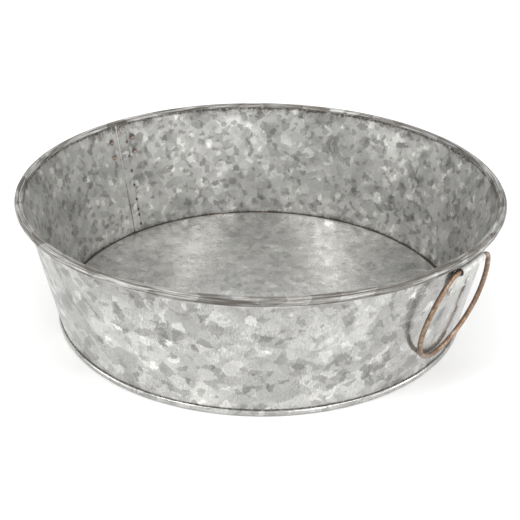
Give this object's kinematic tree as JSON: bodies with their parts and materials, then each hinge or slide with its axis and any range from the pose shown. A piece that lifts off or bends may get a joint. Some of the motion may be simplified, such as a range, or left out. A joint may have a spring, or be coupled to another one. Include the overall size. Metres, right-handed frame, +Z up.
{
  "type": "oil drain pan",
  "caption": "Shallow round galvanised sheet-metal drain pan with a wired rolled rim, a recessed folded-in floor and two swinging wire ring handles in riveted brackets.",
  "frame": {"origin": "centre of the base, on the surface that the pan stands on", "axes": "+Z up; +X from the centre to the middle of the right ring handle"},
  "size_m": [0.4128, 0.41, 0.116],
  "materials": {
    "galvanised_sheet": "hot-dip galvanised, spangled, satin",
    "galvanised_fittings": "galvanised, satin",
    "bronze_wire": "bronze-coloured wire, satin, worn bright in places",
    "sealant": "dark brown seam sealant, matt"
  },
  "bodies": {
    "pan": {"side_wall": "galvanised_sheet", "bottom_disc": "galvanised_sheet", "rim_wire": "galvanised_fittings", "bracket_right": "galvanised_fittings", "bracket_left": "galvanised_fittings", "seam_sealant": "sealant", "rivet_right_1": "galvanised_fittings", "rivet_right_2": "galvanised_fittings", "rivet_right_3": "galvanised_fittings", "rivet_right_4": "galvanised_fittings", "rivet_left_1": "galvanised_fittings", "rivet_left_2": "galvanised_fittings", "rivet_left_3": "galvanised_fittings", "rivet_left_4": "galvanised_fittings"},
    "right_ring": {"ring_right": "bronze_wire"},
    "left_ring": {"ring_left": "bronze_wire"}
  },
  "joints": [
    {"name": "right_ring_swing", "type": "hinge", "parent": "pan", "child": "right_ring", "pos_m": [0.20262, 0, 0.105], "axis": [0, -1, 0], "range_deg": [0, 172]},
    {"name": "left_ring_swing", "type": "hinge", "parent": "pan", "child": "left_ring", "pos_m": [-0.20158, 0.02048, 0.105], "axis": [0.1011, 0.9949, 0], "range_deg": [0, 172]}
  ]
}
